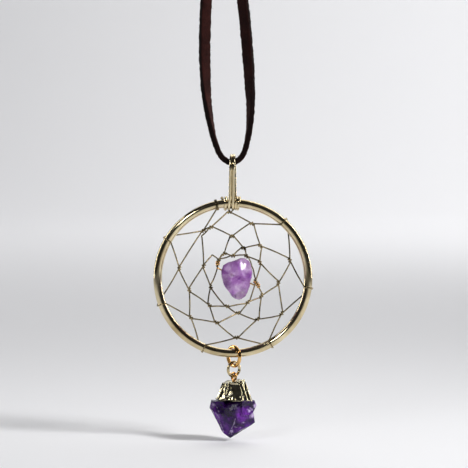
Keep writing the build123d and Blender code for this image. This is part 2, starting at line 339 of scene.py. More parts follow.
lavender = makeQuartz("lavender stone", {
    "Pale": (0.80, 0.60, 0.85, 1), "Middle": (0.52, 0.25, 0.62, 1), "Deep": (0.30, 0.09, 0.42, 1),
    "Cloud Scale": 260.0, "Crack Scale": 330.0, "Shift": 0.02,
}, {"Roughness": 0.12, "IOR": 1.54, "Transmission Weight": 0.6, "Subsurface Weight": 0.3,
    "Subsurface Radius": (0.9, 0.6, 1.0), "Subsurface Scale": 0.003,
    "Coat Weight": 0.5, "Coat Roughness": 0.06}, 0.12,
    [("glow", (0.17, 0.035, 0.24), 0.85), ("whiteCloudsAndGlints", (0.90, 0.78, 0.93), 0.8)])
violet = makeQuartz("violet crystal", {
    "Pale": (0.15, 0.020, 0.32, 1), "Middle": (0.045, 0.003, 0.125, 1), "Deep": (0.009, 0.0006, 0.03, 1),
    "Cloud Scale": 210.0, "Crack Scale": 240.0, "Shift": -0.05,
}, {"Roughness": 0.16, "IOR": 1.54, "Transmission Weight": 0.12, "Specular IOR Level": 0.25,
    "Coat Weight": 0.12, "Coat Roughness": 0.1}, 0.3,
    # the crystal's three masks: glow is painted light, dark is painted shade, and the white mask holds painted
    # glints and highlights
    [("glow", (0.155, 0.012, 0.34), 0.8), ("dark", (0.007, 0.0004, 0.022), 0.95),
     ("whiteCloudsAndGlints", (0.66, 0.50, 0.82), 0.9)])
print("materials made")


# ---- Geometry Nodes: a wire along a path, and loose fibres on suede
def newTree(name, sockets):
    tree = bpy.data.node_groups.new(name, "GeometryNodeTree")
    face = tree.interface
    face.new_socket("Geometry", in_out="INPUT", socket_type="NodeSocketGeometry")
    for label, kind, value in [*sockets, ("Material", "NodeSocketMaterial", None)]:
        socket = face.new_socket(label, in_out="INPUT", socket_type=kind)
        if value is not None:
            socket.default_value = value
    face.new_socket("Geometry", in_out="OUTPUT", socket_type="NodeSocketGeometry")
    return tree, tree.nodes.new("NodeGroupInput").outputs, tree.nodes.new("NodeGroupOutput").inputs


def endTree(tree, geometry, given, out):
    # every tree ends as real geometry with its material on it
    real = addNode(tree, "GeometryNodeRealizeInstances", None, {0: geometry})
    paint = addNode(tree, "GeometryNodeSetMaterial", None, {0: real.outputs[0], "Material": given["Material"]})
    tree.links.new(paint.outputs[0], out[0])
    return tree


def makeWireTree():
    tree, given, out = newTree("wire on a path", [("Radius", "NodeSocketFloat", 0.0002),
                                                  ("Sides", "NodeSocketInt", 14)])
    ring = addNode(tree, "GeometryNodeCurvePrimitiveCircle", None,
                   {"Resolution": given["Sides"], "Radius": given["Radius"]})
    sweep = addNode(tree, "GeometryNodeCurveToMesh", {"Fill Caps": True},
                    {"Curve": given["Geometry"], "Profile Curve": ring.outputs[0]})
    smooth = addNode(tree, "GeometryNodeSetShadeSmooth", None, {0: sweep.outputs[0]})
    return endTree(tree, smooth.outputs[0], given, out)


wireTree = makeWireTree()


def runTree(source, tree, values, name):
    # runs a node tree on an object and returns its result as a plain mesh object
    modifier = source.modifiers.new("nodes", "NODES")
    modifier.node_group = tree
    for item in tree.interface.items_tree:
        if item.in_out == "INPUT" and item.name in values:
            modifier[item.identifier] = values[item.name]
    graph = bpy.context.evaluated_depsgraph_get()
    mesh = bpy.data.meshes.new_from_object(source.evaluated_get(graph), depsgraph=graph)
    mesh.name = name
    source.modifiers.remove(modifier)
    return mesh


def makeWire(name, strands, thick, material, sides=14, steps=5):
    # strands are (points, closed) pairs; the wire passes through every point
    curve = bpy.data.curves.new(name + "Path", "CURVE")
    curve.dimensions = "3D"
    curve.resolution_u = steps
    for points, closed in strands:
        spline = curve.splines.new("BEZIER")
        spline.bezier_points.add(len(points) - 1)
        for knot, point in zip(spline.bezier_points, points):
            knot.co = point
            knot.handle_left_type = knot.handle_right_type = "AUTO"
        spline.use_cyclic_u = closed
    path = plainObject(name + "Path", curve)
    values = {"Radius": thick / 2 * mm, "Sides": sides, "Material": material}
    piece = plainObject(name, runTree(path, wireTree, values, name))
    bpy.data.objects.remove(path)
    return piece


# ---- loose fibres on the suede, thickest along its cut edges
fibreLook = {"Density": 2.6e6, "Length": 0.00055, "Thick": 0.000035, "Seed": 4}


def makeFibreTree():
    tree, given, out = newTree("suede fibres", [
        ("Density", "NodeSocketFloat", 1e6), ("Length", "NodeSocketFloat", 0.0005),
        ("Thick", "NodeSocketFloat", 0.00003), ("Seed", "NodeSocketInt", 1)])
    edge = addNode(tree, "GeometryNodeInputNamedAttribute", {"Name": "cutEdge"})
    more = addMath(tree, "MULTIPLY_ADD", {1: 0.85, 2: 0.15}, {0: edge.outputs[0]})
    density = addMath(tree, "MULTIPLY", {}, {0: more, 1: given["Density"]})
    points = addNode(tree, "GeometryNodeDistributePointsOnFaces", None,
                     {"Mesh": given["Geometry"], "Density": density, "Seed": given["Seed"]})
    hair = addNode(tree, "GeometryNodeMeshCone", {"Vertices": 3},
                   {"Radius Bottom": given["Thick"], "Depth": given["Length"]})
    lean = addNode(tree, "FunctionNodeRandomValue", {0: (-0.9, -0.9, -3.1), 1: (0.9, 0.9, 3.1)},
                   data_type="FLOAT_VECTOR")
    size = addNode(tree, "FunctionNodeRandomValue", {2: 0.35, 3: 1.0}, data_type="FLOAT")
    place = addNode(tree, "GeometryNodeInstanceOnPoints", None, {
        "Points": points.outputs["Points"], "Instance": hair.outputs["Mesh"],
        "Rotation": points.outputs["Rotation"], "Scale": size.outputs[1]})
    tilt = addNode(tree, "GeometryNodeRotateInstances", None,
                   {0: place.outputs[0], "Rotation": lean.outputs[0]})
    join = addNode(tree, "GeometryNodeJoinGeometry", None, {0: given["Geometry"]})
    tree.links.new(tilt.outputs[0], join.inputs[0])
    return endTree(tree, join.outputs[0], given, out)


fibreTree = makeFibreTree()


def addFibres(piece, look):
    piece.data = runTree(piece, fibreTree, {**look, "Material": suede}, piece.name)
    print(piece.name, "fibres", len(piece.data.polygons))


# ---- suede lace: the route is the same as the model's, in mm from the hanging point
laceLook = {"wide": 3.0, "thick": 1.5, "faceOn": 62.0, "turnFrom": 4.0, "turnTo": 34.0, "steps": 420}
laceRoute = [
    (-0.95, 0.0), (-2.6, -14.0), (-3.75, -30.0), (-4.65, -46.0), (-4.5, -59.0), (-3.5, -68.0),
    (-2.0, -75.1), (-0.2, -79.4), (2.65, -81.1), (5.5, -79.5), (7.0, -75.1), (7.85, -68.0),
    (7.6, -59.0), (6.6, -46.0), (4.9, -30.0), (3.0, -14.0), (0.95, 0.0),
]


def smoothRoute(points, name):
    curve = bpy.data.curves.new(name, "CURVE")
    curve.dimensions = "3D"
    spline = curve.splines.new("NURBS")
    spline.points.add(len(points) - 1)
    for knot, (x, z) in zip(spline.points, points):
        knot.co = (x * mm, 0, z * mm, 1)
    spline.order_u = 3
    spline.use_endpoint_u = True
    spline.resolution_u = 40
    path = plainObject(name, curve)
    graph = bpy.context.evaluated_depsgraph_get()
    mesh = bpy.data.meshes.new_from_object(path.evaluated_get(graph), depsgraph=graph)
    line = [vertex.co.copy() for vertex in mesh.vertices]
    bpy.data.objects.remove(path)
    return line


def alongLine(line):
    # distances from the line's start
    total = [0.0]
    for before, here in zip(line, line[1:]):
        total.append(total[-1] + (here - before).length)
    return total


def ribbonMesh(name, line, widthAt, wide, thick, wander, seed):
    # a flat strip with soft corners; widthAt(k) gives the way its width points
    corners = []
    for side in range(24):
        angle = 2 * pi * side / 24
        x, y = cos(angle), sin(angle)
        soft = 0.34                                     # squareness of the section
        corners.append((abs(x) ** soft * (1 if x > 0 else -1), abs(y) ** soft * (1 if y > 0 else -1)))
    mesh = bpy.data.meshes.new(name)
    vertices, faces, edges = [], [], []
    for k, point in enumerate(line):
        before, after = line[max(k - 1, 0)], line[min(k + 1, len(line) - 1)]
        along = (after - before).normalized()
        across = widthAt(k)
        across = (across - along * across.dot(along)).normalized()
        up = along.cross(across)
        for x, y in corners:
            spot = point + across * x * wide / 2 * mm + up * y * thick / 2 * mm
            rough = noise.noise(spot * 900 + Vector((seed, 0, 0))) * wander * mm
            rough += noise.noise(spot * 3800 + Vector((0, seed, 0))) * wander * 0.5 * mm
            vertices.append(spot + (across * x + up * y).normalized() * rough)
            edges.append(min(1.0, max(0.0, (abs(x) - 0.86) / 0.14)))
    count = len(corners)
    for k in range(len(line) - 1):
        for side in range(count):
            a, b = k * count + side, k * count + (side + 1) % count
            faces.append((a, b, b + count, a + count))
    faces.append(tuple(range(count))[::-1])
    last = (len(line) - 1) * count
    faces.append(tuple(range(last, last + count)))
    mesh.from_pydata(vertices, [], faces)
    attribute = mesh.attributes.new("cutEdge", "FLOAT", "POINT")
    attribute.data.foreach_set("value", edges)
    finishMesh(mesh)
    return mesh


def makeLace(look, route):
    line = smoothRoute(route, "laceLine")
    places = alongLine(line)
    low = min(range(len(line)), key=lambda k: line[k].z)

    def widthAt(k):
        # edge-on round the bail, and turned towards the face higher up
        far = abs(places[k] - places[low]) / mm
        share = min(1.0, max(0.0, (far - look["turnFrom"]) / (look["turnTo"] - look["turnFrom"])))
        share = share * share * (3 - 2 * share)
        turn = radians(look["faceOn"]) * share
        side = 1 if k < low else -1
        return Vector((side * sin(turn), cos(turn), 0))

    mesh = ribbonMesh("suedeLace", line, widthAt, look["wide"], look["thick"], 0.15, 3)
    piece = plainObject("suedeLace", mesh)
    giveMaterial(piece, suede)
    addFibres(piece, fibreLook)
    return piece, line, places[-1]


makeCamera(cameraLook)
lacePiece, laceLine, laceLength = makeLace(laceLook, laceRoute)
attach(lacePiece, "lace")
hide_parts("suede_lace")
print("lace made", round(laceLength, 4))


# ---- hoop: one round wire with a butted seam right of the bail
hoopLook = {"sides": 48, "steps": 420, "seamAt": 76.0, "seamWide": 1.2, "pinch": 0.05}


def makeHoop(look):
    mesh = bpy.data.meshes.new("hoop")
    vertices, faces = [], []
    for step in range(look["steps"]):
        angle = 2 * pi * step / look["steps"] + radians(look["seamAt"])
        fromSeam = min(step, look["steps"] - step) * 360 / look["steps"]
        pinch = 1 - look["pinch"] * max(0.0, 1 - fromSeam / look["seamWide"])
        for side in range(look["sides"]):
            turn = 2 * pi * side / look["sides"]
            radius = hoopMean + hoopWire / 2 * pinch * cos(turn)
            vertices.append(onFace(radius * cos(angle), radius * sin(angle), hoopWire / 2 * pinch * sin(turn)))
    for step in range(look["steps"]):
        for side in range(look["sides"]):
            a, b = step * look["sides"] + side, step * look["sides"] + (side + 1) % look["sides"]
            c, d = a + look["sides"], b + look["sides"]
            total = len(vertices)
            faces.append((a, c % total, d % total, b))
    mesh.from_pydata(vertices, [], faces)
    finishMesh(mesh)
    piece = plainObject("polishedHoop", mesh)
    giveMaterial(piece, hoopGold)
    return piece


hoopPiece = makeHoop(hoopLook)
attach(hoopPiece, "pendant")
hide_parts("hoop")
print("hoop made")

# ---- bail: one wire that wraps the hoop, goes twice over the lace, and wraps the hoop again
bailLook = {"wire": 0.8, "top": 33.25, "wide": 5.8, "left": -0.35, "pitch": 0.84, "fit": 0.03}


def makeBail(look):
    reach = hoopWire / 2 + look["wire"] / 2 + look["fit"]
    topRadius = look["wide"] / 2
    topMiddle = look["top"] - topRadius
    rise = topMiddle - hoopMean
    points = []

    def smallTurns(first, last, turns, start):
        # turns round the hoop's wire while the place along the hoop goes from first to last
        steps = int(turns * 10)
        for step in range(steps + 1):
            share = step / steps
            x = mixIn(first, last, share)
            angle = 90 - x / hoopMean * 180 / pi
            points.append(roundHoop(angle, start - 360 * turns * share, reach))

    def bigTurn(first, last):
        # up the front, over the lace, down the back and under the hoop
        stops = []
        for share in (0.25, 0.5, 0.75):
            stops.append((-mixIn(reach, topRadius, share), hoopMean + rise * share))
        for turn in range(180, -1, -20):
            stops.append((topRadius * cos(radians(turn)), topMiddle + topRadius * sin(radians(turn))))
        for share in (0.75, 0.5, 0.25):
            stops.append((mixIn(reach, topRadius, share), hoopMean + rise * share))
        for turn in range(0, -181, -30):
            stops.append((reach * cos(radians(turn)), hoopMean + reach * sin(radians(turn))))
        for k, (y, z) in enumerate(stops):
            x = mixIn(first, last, k / (len(stops) - 1))
            sway = 0.12 * sin(pi * k / (len(stops) - 1)) if first < look["left"] else 0.0
            points.append(onFace(x + sway, z, y))

    smallTurns(-2.75, look["left"] - 0.75 * look["pitch"], 1.75, 180)
    bigTurn(look["left"] - look["pitch"] / 2, look["left"] + look["pitch"] / 2)
    bigTurn(look["left"] + look["pitch"] / 2, look["left"] + 1.4 * look["pitch"])
    smallTurns(look["left"] + 1.55 * look["pitch"], 1.75, 1.3, 262)
    return makeWire("doubledBail", [(points, False)], look["wire"], hoopGold, sides=20, steps=5)


bailPiece = makeBail(bailLook)
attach(bailPiece, "pendant")
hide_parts("bail", "bail_wraps")
print("bail made")

# ---- web: knots at (right, up, back) mm from the hoop's middle, named by ring from the outside in
webLook = {"wire": 0.4, "turns": 1.5, "twist": 0.95, "bow": 0.14, "seed": 5, "fit": 0.02}
webKnots = {
    "V0": (-0.9, 18.0, -0.25), "P1": (5.2, 14.8, 0), "P2": (15.4, 4.9, 0), "P3": (13.2, -9.6, 0),
    "P4": (1.0, -16.1, 0), "P5": (-11.4, -10.6, 0), "P6": (-14.5, 2.8, 0), "P7": (-8.0, 12.9, 0),
    "P8": (-6.0, 13.8, 0), "W7": (-8.4, 11.5, 0),
    "Q1": (-0.24, 11.4, 0), "Q2": (7.45, 8.8, 0), "Q3": (12.3, -1.3, 0), "Q4": (6.7, -11.1, 0),
    "Q5": (-4.45, -12.0, 0), "Q6": (-11.8, -3.2, 0),
    "S1": (-2.35, 6.7, 0), "S2": (2.9, 8.2, 0), "S3": (7.3, 4.3, 0), "S4": (7.75, -4.75, 0),
    "S5": (1.4, -9.4, 0), "S6": (-6.4, -7.3, 0), "S7": (-7.9, 3.4, 0),
    "T0": (-3.9, 5.0, 0), "L0": (-4.1, 3.4, 0), "T1": (0.05, 6.15, 0), "T2": (3.7, 6.05, 0),
    "T3": (6.1, -0.84, 0), "T4": (4.1, -6.5, 0), "T5": (-1.6, -7.6, 0), "T6": (-6.0, -2.35, 0),
    "B2": (5.1, 3.2, 1.9), "B3": (5.75, 1.0, 1.2), "C7": (-5.6, 6.3, 0), "D6": (-4.9, 0.6, 0),
}
# each hoop pass arrives inside the hoop at the first angle and comes over its outside at the second
hoopPasses = {"A2": (142, 149.5), "A3": (192.6, 200), "A4": (240, 247.5), "A5": (292, 300),
              "A6": (344.6, 353), "A7": (38, 48.5)}
webRounds = [
    "A1 P7 A2 P6 A3 P5 A4 P4 A5 P3 A6 P2 A7 P1 V0 A0 V0 P8 P7 P6 Q6 P5 Q5 P4 Q4 P3 Q3 P2 Q2 P1",
    "Q1 P8 W7 S7 Q6 S6 Q5 S5 Q4 S4 Q3 S3 Q2 S2 Q1",
    "S1 T0 C7 S7 T6 S6 T5 S5 T4 S4 T3 S3 T2 S2 T1 S1",
    "T0 L0 D6 T6 T5 T4 T3 B3 B2 T2 T1 T0",
]


def webPoint(name):
    x, z, y = webKnots[name]
    return onFace(x, z, y)


def hoopPass(angleIn, angleOut):
    # behind the hoop, over its outside and back across its front
    reach = hoopWire / 2 + webLook["wire"] / 2 + webLook["fit"]
    points = []
    for turn in (45, 80, 115, 150, 180, 210, 245, 280, 310):
        share = min(1.0, turn / 190)
        points.append(roundHoop(mixIn(angleIn, angleOut, share * share * (3 - 2 * share)), turn, reach))
    return points


def hoopCoil(angleStart, angleEnd, turns, start):
    reach = hoopWire / 2 + webLook["wire"] / 2 + webLook["fit"]
    steps = int(turns * 10)
    points = []
    for step in range(steps + 1):
        share = step / steps
        points.append(roundHoop(mixIn(angleStart, angleEnd, share), start + 360 * turns * share, reach))
    return points


def knotTwist(before, here, after, look):
    # the wire turns round the earlier wire, square to the line from the hoop's middle
    outward = (here - hoopMiddle).normalized()
    along = Vector((-outward.z, 0, outward.x))
    if (after - before).dot(along) < 0:
        along = -along
    towards = Vector((0, -1, 0))
    radius = look["wire"] * 0.98 * mm
    steps = int(look["turns"] * 8)
    points = []
    for step in range(steps + 1):
        share = step / steps
        turn = 2 * pi * look["turns"] * share + pi * 0.5
        shift = along * (share - 0.5) * look["twist"] * mm
        points.append(here + shift + (outward * cos(turn) + towards * sin(turn)) * radius)
    return points


def addSpan(path, target, bow, chance):
    # a nearly straight run to the next knot, with a slight hand-made bow
    start = path[-1]
    run = target - start
    if run.length < 1.6 * mm:
        return
    side = Vector((-run.z, 0, run.x)).normalized() * (chance.random() - 0.5) * 2 * bow * mm
    near = min(0.22, 0.55 * mm / run.length)
    for share in (near, 0.5, 1 - near):
        path.append(start + run * share + side * sin(pi * share))


def makeWeb(look):
    chance = Random(look["seed"])
    path = hoopCoil(103.2, 101.2, 2.0, 180)[:-2]
    path += [roundHoop(101.6, 262, hoopWire / 2 + 0.22), roundHoop(102.2, 300, hoopWire / 2 + 0.25)]
    names = " ".join(webRounds).split()[1:]
    seen = set()
    for k, name in enumerate(names):
        if name in hoopPasses:
            bend = hoopPass(*hoopPasses[name])
            addSpan(path, bend[0], look["bow"], chance)
            path += bend
        elif name == "A0":
            path += hoopCoil(92.2, 86.2, 2.0, 285)
        elif name in seen:
            before = path[-1]
            after = webPoint(names[k + 1]) if k + 1 < len(names) and names[k + 1] in webKnots else before
            twist = knotTwist(before, webPoint(name), after, look)
            addSpan(path, twist[0], look["bow"], chance)
            path += twist
        else:
            addSpan(path, webPoint(name), look["bow"], chance)
            path.append(webPoint(name))
            seen.add(name)
    return makeWire("knottedWeb", [(path, False)], look["wire"], wireGold, sides=10, steps=4)


webPiece = makeWeb(webLook)
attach(webPiece, "pendant")
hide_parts("web")
print("web made", len(webPiece.data.polygons))


# ---- jump rings: each has its ends butted together
ringLook = {"butt": 0.12, "steps": 40}


def makeRing(name, node, wire, buttAt, material, body):
    low, high = (Vector(corner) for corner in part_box(node))
    middle = (low + high) / 2
    mean = (high.z - low.z) / 2 - wire / 2 * mm
    reachX, reachY = (high.x - low.x) / 2, (high.y - low.y) / 2
    side = -1 if node == "jump_ring_upper" else 1
    across = Vector((reachX, side * reachY, 0)).normalized()
    gap = ringLook["butt"] * mm / mean
    points = []
    for step in range(ringLook["steps"] + 1):
        turn = radians(buttAt) + gap / 2 + (2 * pi - gap) * step / ringLook["steps"]
        points.append(middle + (across * cos(turn) + Vector((0, 0, 1)) * sin(turn)) * mean)
    piece = makeWire(name, [(points, False)], wire, material, sides=24, steps=3)
    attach(piece, body)
    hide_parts(node)
    return piece


makeRing("upperRing", "jump_ring_upper", 1.0, 24, ringGold, "upper_ring")
makeRing("lowerRing", "jump_ring_lower", 0.8, 150, hoopGold, "lower_ring")
print("rings made")


# ---- closed lumps: a ball pulled out to an outline
def outlineReach(outline, middle, angle):
    # how far the outline is from its middle in one direction
    aim = Vector((cos(angle), sin(angle)))
    best = 0.0
    for here, there in zip(outline, outline[1:] + outline[:1]):
        a, b = Vector(here) - middle, Vector(there) - middle
        edge = b - a
        cross = aim.x * edge.y - aim.y * edge.x
        if abs(cross) < 1e-9:
            continue
        far = (a.x * edge.y - a.y * edge.x) / cross
        share = (a.x * aim.y - a.y * aim.x) / cross
        if far > 0 and -1e-6 <= share <= 1 + 1e-6:
            best = max(best, far)
    return best


def cutBore(piece, start, end, wide):
    # drills a round hole through a piece
    run = end - start
    mesh = bpy.data.meshes.new("drill")
    drill = bmesh.new()
    turn = run.to_track_quat("Z", "Y").to_matrix().to_4x4()
    bmesh.ops.create_cone(drill, cap_ends=True, segments=24, radius1=wide / 2 * mm, radius2=wide / 2 * mm,
                          depth=run.length, matrix=Matrix.Translation((start + end) / 2) @ turn)
    drill.to_mesh(mesh)
    drill.free()
    tool = plainObject("drill", mesh)
    modifier = piece.modifiers.new("bore", "BOOLEAN")
    modifier.object = tool
    modifier.solver = "EXACT"
    graph = bpy.context.evaluated_depsgraph_get()
    drilled = bpy.data.meshes.new_from_object(piece.evaluated_get(graph), depsgraph=graph)
    piece.modifiers.remove(modifier)
    piece.data = drilled
    bpy.data.objects.remove(tool)


# ---- colour painted by place: soft blobs (place, reach, strength) and thin lines (from, to, width)
def blob(spot, centre, reach):
    x, z, y = centre
    away = hypot(hypot((spot.x - x) / reach[0], (spot.z - z) / reach[1]), (spot.y - y) / reach[2])
    return max(0.0, 1 - away)


def streak(spot, start, end, wide):
    # seen from the front or back, so the line shows on the face it lies in
    ax, az = start
    ex, ez = end[0] - ax, end[1] - az
    share = max(0.0, min(1.0, ((spot.x - ax) * ex + (spot.z - az) * ez) / (ex * ex + ez * ez)))
    away = hypot(spot.x - ax - ex * share, spot.z - az - ez * share)
    return max(0.0, 1 - away / wide)


def paintPlaces(mesh, name, places, lines=(), ragged=0.6):
    attribute = mesh.attributes.new(name, "FLOAT", "POINT")
    values = []
    for vertex in mesh.vertices:
        spot = (vertex.co - hoopMiddle) / mm
        slanted = Vector((spot.x + spot.z * 0.6, spot.y, spot.z * 0.5 - spot.x * 0.3))
        wander = noise.noise(slanted * 1.9) + 0.6 * noise.noise(slanted * 4.3)
        total = 0.0
        for centre, reach, strength in places:
            total = max(total, strength * blob(spot, centre, reach))
        total = total * 1.5 * (1 + ragged * wander * 1.6) - 0.12 * ragged
        for start, end, wide, strength in lines:
            broken = 0.6 + 1.6 * noise.noise(spot * 1.7)
            total = max(total, strength * broken * streak(spot, start, end, wide))
        values.append(min(1.0, max(0.0, total)))
    attribute.data.foreach_set("value", values)


# darker veils and whiter clouds in the centre stone
stoneShade = [
    ((0.1, 0.95, -3.4), (0.75, 0.35, 3.0), 1.0), ((0.9, 0.45, -3.4), (0.6, 0.3, 3.0), 0.7),
    ((-1.6, -0.4, -2.0), (1.3, 2.0, 3.0), 0.35), ((0.6, -4.7, -2.0), (0.6, 1.2, 3.0), 0.6),
    ((4.1, 0.6, -1.0), (0.7, 2.6, 3.0), 0.35), ((2.4, -2.6, -3.0), (0.9, 0.8, 2.0), 0.35),
    ((0.5, 1.0, 3.0), (1.4, 0.9, 2.5), 0.5),
]
stoneLines = [((-0.5, 1.3), (0.6, 0.85), 0.3, 1.3), ((1.5, 0.15), (3.0, -0.5), 0.24, 0.9)]
stoneWhite = [
    ((-1.3, 2.9, -3.0), (1.25, 1.5, 2.2), 0.9), ((1.3, -2.3, -3.2), (1.7, 1.5, 2.4), 0.55),
    ((2.9, 2.2, -2.8), (1.3, 1.8, 2.0), 0.45), ((2.6, -3.6, -2.6), (0.7, 0.5, 1.6), 0.8),
    ((0.3, -4.9, -1.4), (0.3, 0.8, 2.0), 0.5), ((2.0, 4.8, -1.2), (1.6, 0.6, 2.2), 0.4),
    ((1.5, 1.0, 2.9), (2.0, 2.6, 1.8), 0.5),
]
# thin bright lines in the crystal, as they run across its face: painted highlights on its middle ridge and
# painted glints along its lower left edges, with a few bright cracks
crystalGlintLines = [
    ((0.7, -37.6), (0.1, -39.6), 0.15, 0.8), ((0.1, -39.6), (-1.1, -42.3), 0.17, 0.9),
    ((0.3, -40.0), (2.8, -40.5), 0.13, 0.6), ((-3.3, -39.6), (-2.6, -41.6), 0.16, 0.6),
    ((-5.0, -33.6), (-4.0, -35.0), 0.16, 0.45), ((-4.7, -36.2), (-3.6, -37.8), 0.2, 0.5),
]

# ---- centre stone: a tumbled chip with soft flats, drilled for its wire
stoneLook = {"front": -3.63, "back": 2.77, "hole": 0.9, "flatten": 0.8, "lumps": 0.10}
stoneOutline = [
    (-3.17, 2.1), (-2.68, 3.62), (-1.17, 4.44), (0.62, 5.0), (2.0, 5.55), (3.24, 5.55), (4.34, 4.86),
    (4.89, 3.76), (5.31, 2.1), (5.16, 0.45), (4.75, -0.93), (4.6, -2.3), (4.07, -3.68), (3.38, -4.92),
    (2.41, -5.61), (1.59, -5.89), (0.62, -5.61), (-0.34, -4.92), (-1.17, -3.68), (-2.0, -2.72),
    (-2.68, -1.34), (-3.1, 0.31),
]
# soft flats: direction they face (right, up, back) and how far out they lie, in mm
stoneFlats = [
    ((-0.42, 0.36, -0.83), 3.2), ((0.50, 0.30, -0.81), 3.35), ((0.12, -0.50, -0.86), 3.4),
    ((-0.5, -0.2, 0.84), 3.2), ((0.4, 0.45, 0.80), 3.4), ((0.3, -0.55, 0.78), 3.4), ((0.05, 0.1, -1.0), 2.95),
]


def makeStone(look):
    ball = bmesh.new()
    bmesh.ops.create_icosphere(ball, subdivisions=6, radius=1)
    middle = Vector((1.07, -0.17))
    centreY, half = (look["front"] + look["back"]) / 2, (look["back"] - look["front"]) / 2
    for vertex in ball.verts:
        x, y, z = vertex.co
        flat = hypot(x, z)
        reach = outlineReach(stoneOutline, middle, atan2(z, x)) - 0.02
        wide = flat ** 0.82 * reach
        deep = (1 if y > 0 else -1) * abs(y) ** 0.9 * half
        spot = Vector((wide * x / max(flat, 1e-6), wide * z / max(flat, 1e-6), deep))
        for (fx, fz, fy), far in stoneFlats:
            facing = Vector((fx, fz, fy)).normalized()
            over = spot.dot(facing) - far
            if over > 0:
                spot -= facing * over * look["flatten"]
        spot *= 1 + look["lumps"] * 0.25 * noise.noise(spot * 0.6)
        vertex.co = onFace(middle.x + spot.x, middle.y + spot.y, centreY + spot.z)
    mesh = bpy.data.meshes.new("lavenderChip")
    ball.to_mesh(mesh)
    ball.free()
    piece = plainObject("lavenderChip", mesh)
    finishMesh(mesh)
    return piece


joints = frame["record"]["behaviour"]["joints"]
spinJoint = next(joint for joint in joints if joint["name"] == "stone_spin")
spinAxis = Vector(spinJoint["axis"]).normalized()
spinPlace = Vector(spinJoint["pos_m"])


def onWire(x):
    # where the stone's straight wire is, x mm right of the hoop's middle
    return spinPlace + spinAxis * ((hoopMiddle.x + x * mm - spinPlace.x) / spinAxis.x)


wireFar, wireNear = onWire(-5.0), onWire(7.1)
stonePiece = makeStone(stoneLook)
cutBore(stonePiece, wireFar, wireNear, stoneLook["hole"])
finishMesh(stonePiece.data)
paintPlaces(stonePiece.data, "glow", stoneShade, stoneLines)
paintPlaces(stonePiece.data, "whiteCloudsAndGlints", stoneWhite)
giveMaterial(stonePiece, lavender)
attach(stonePiece, "stone")
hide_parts("centre_stone")
print("stone made", len(stonePiece.data.polygons))

# ---- stone wire: straight through the stone, coiled on the web at both ends
coilLook = {"wire": 0.4, "turns": 3.5}


def coilRound(start, end, turns, reach, phase):
    along = (end - start).normalized()
    side = along.cross(Vector((0, 1, 0))).normalized()
    front = side.cross(along)
    steps = int(turns * 12)
    points = []
    for step in range(steps + 1):
        share = step / steps
        turn = phase + 2 * pi * turns * share
        points.append(start + (end - start) * share + (side * cos(turn) + front * sin(turn)) * reach * mm)
    return points


def makeStoneWire(look):
    near = coilRound(onFace(5.95, -0.75, 0.05), onFace(7.15, -2.35, 0.0), look["turns"], 0.42, 2.2)
    far = coilRound(onFace(-4.15, 3.55, 0.05), onFace(-4.0, 4.75, 0.0), 2.6, 0.42, 1.0)
    path = far[::-1]
    path += [onWire(x) for x in (-3.75, -3.45, -3.2, 1.07, 5.2, 5.45, 5.7)]
    path += near
    return makeWire("coiledStoneWire", [(path, False)], look["wire"], ringGold, sides=12, steps=5)


coilPiece = makeStoneWire(coilLook)
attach(coilPiece, "pendant")
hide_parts("stone_wire")
print("stone wire made")

# ---- cap: thin crinkled metal pressed on the crystal; creases run from (angle, height) to (angle, height)
capLook = {"foot": -32.75, "top": -28.0, "wall": 0.3, "around": 260, "up": 60, "ridge": 0.20, "width": 0.14}
# angle 0 is the right, 270 the front; the outlines are (angle, reach at the top, reach at the foot)
capCorners = [(8, 2.8, 5.15), (52, 3.0, 4.6), (104, 2.8, 4.3), (150, 3.1, 4.7), (196, 3.3, 5.0),
              (232, 3.1, 4.7), (300, 2.9, 4.5), (334, 3.3, 5.2)]
capCreases = [
    ((232, 1.0), (226, 0.0), 1.0), ((297, 1.0), (303, 0.0), 1.0), ((246, 1.0), (236, 0.1), 0.8),
    ((250, 0.9), (262, 0.45), 0.7), ((262, 0.45), (240, 0.25), 0.7), ((214, 1.0), (205, 0.0), 1.0),
    ((196, 1.0), (190, 0.0), 0.8), ((312, 1.0), (322, 0.0), 0.9), ((322, 0.9), (312, 0.3), 0.6),
    ((340, 1.0), (336, 0.0), 0.9), ((8, 1.0), (0, 0.0), 0.8), ((30, 0.9), (24, 0.1), 0.7),
    ((52, 1.0), (60, 0.0), 1.0), ((80, 0.9), (70, 0.2), 0.7), ((104, 1.0), (98, 0.0), 1.0),
    ((125, 0.9), (135, 0.2), 0.7), ((150, 1.0), (157, 0.0), 1.0), ((172, 1.0), (166, 0.3), 0.6),
    ((255, 0.97), (300, 0.90), 0.8), ((186, 0.5), (214, 0.62), 0.5), ((318, 0.5), (350, 0.6), 0.5),
    ((60, 0.5), (100, 0.62), 0.6), ((105, 0.35), (150, 0.5), 0.5),
]


def creaseHeight(angle, up):
    # how much the metal is raised here, 0 to 1
    most = 0.0
    for (a0, t0), (a1, t1), height in capCreases:
        px = ((angle - a0 + 180) % 360 - 180) / 15
        py = (up - t0) * 4.2
        ex, ey = (a1 - a0) / 15, (t1 - t0) * 4.2
        share = max(0.0, min(1.0, (px * ex + py * ey) / (ex * ex + ey * ey)))
        away = hypot(px - ex * share, py - ey * share)
        most = max(most, height * max(0.0, 1 - (away / (capLook["width"] * 2.2)) ** 2))
    return most


